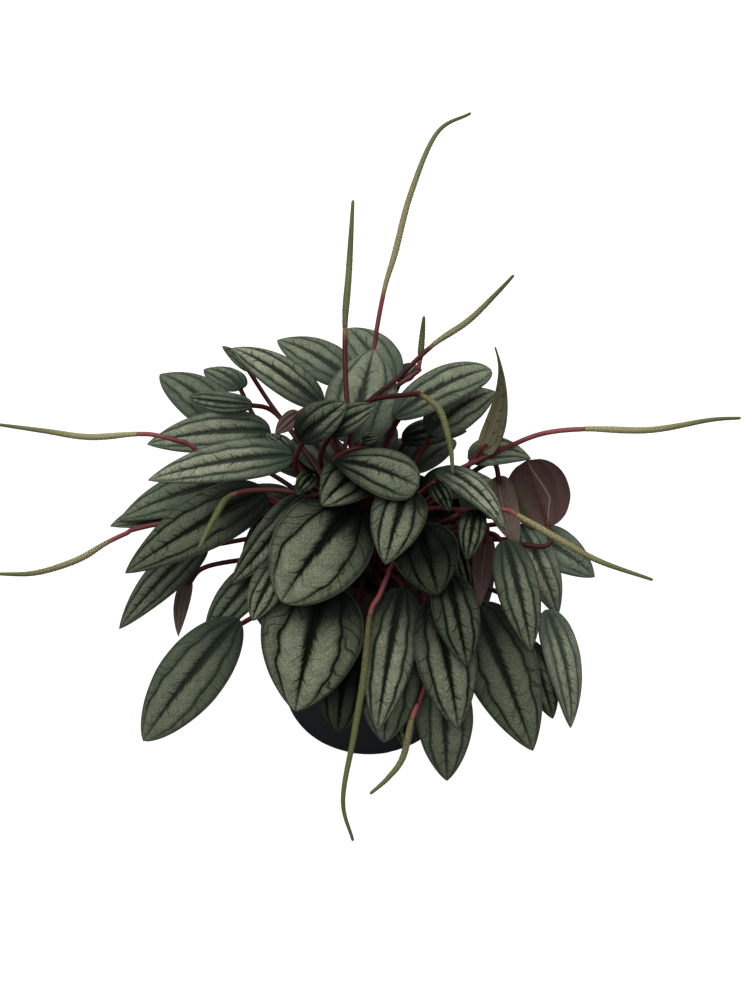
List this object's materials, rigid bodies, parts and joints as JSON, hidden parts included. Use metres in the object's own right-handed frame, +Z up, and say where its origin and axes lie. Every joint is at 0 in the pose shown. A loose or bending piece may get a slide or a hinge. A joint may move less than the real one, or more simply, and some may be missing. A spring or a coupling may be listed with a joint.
{
  "type": "potted peperomia plant",
  "caption": "Compact peperomia with quilted silver-green pointed leaves on red stalks and long slender flower spikes, growing in a dark round nursery pot.",
  "frame": {"origin": "centre of the pot's flat base, on the surface it stands on", "axes": "+Z up along the pot's axis; -Y toward the side that the picture was taken from; +X to that viewer's right"},
  "size_m": [0.3371, 0.2827, 0.2489],
  "materials": {
    "pot_plastic": "dark blue-black moulded plastic, fine matte grain",
    "potting_mix": "moist crumbly peat and bark mix",
    "stalk": "fleshy maroon to pink stalk, satin",
    "leaf": "quilted fleshy leaf, dark green veins between silver-green bands, satin",
    "spadix": "beaded olive-green flower spike, satin"
  },
  "bodies": {
    "root": {"pot": "pot_plastic", "soil": "potting_mix", "crown": "stalk", "leaf_01": "leaf", "leaf_03": "leaf", "leaf_04": "leaf", "leaf_05": "leaf", "leaf_06": "leaf", "leaf_07": "leaf", "leaf_08": "leaf", "leaf_09": "leaf", "leaf_10": "leaf", "leaf_11": "leaf", "leaf_12": "leaf", "leaf_13": "leaf", "leaf_14": "leaf", "leaf_15": "leaf", "leaf_16": "leaf", "leaf_17": "leaf", "leaf_18": "leaf", "leaf_19": "leaf", "leaf_20": "leaf", "leaf_21": "leaf", "leaf_22": "leaf", "leaf_23": "leaf", "leaf_24": "leaf", "leaf_26": "leaf", "leaf_27": "leaf", "leaf_28": "leaf", "leaf_29": "leaf", "leaf_31": "leaf", "leaf_32": "leaf", "leaf_33": "leaf", "leaf_34": "leaf", "leaf_35": "leaf", "leaf_36": "leaf", "leaf_37": "leaf", "leaf_38": "leaf", "leaf_39": "leaf", "leaf_40": "leaf", "leaf_41": "leaf", "leaf_42": "leaf", "leaf_43": "leaf", "leaf_44": "leaf", "leaf_46": "leaf", "leaf_47": "leaf", "leaf_57": "leaf", "spadix_a": "spadix", "spadix_b": "spadix", "spadix_c": "spadix", "spadix_d": "spadix", "spadix_e": "spadix", "spadix_f": "spadix", "spadix_g": "spadix", "spadix_h": "spadix", "spadix_i": "spadix", "spadix_j": "spadix", "spadix_k": "spadix", "spadix_l": "spadix"}
  },
  "joints": []
}
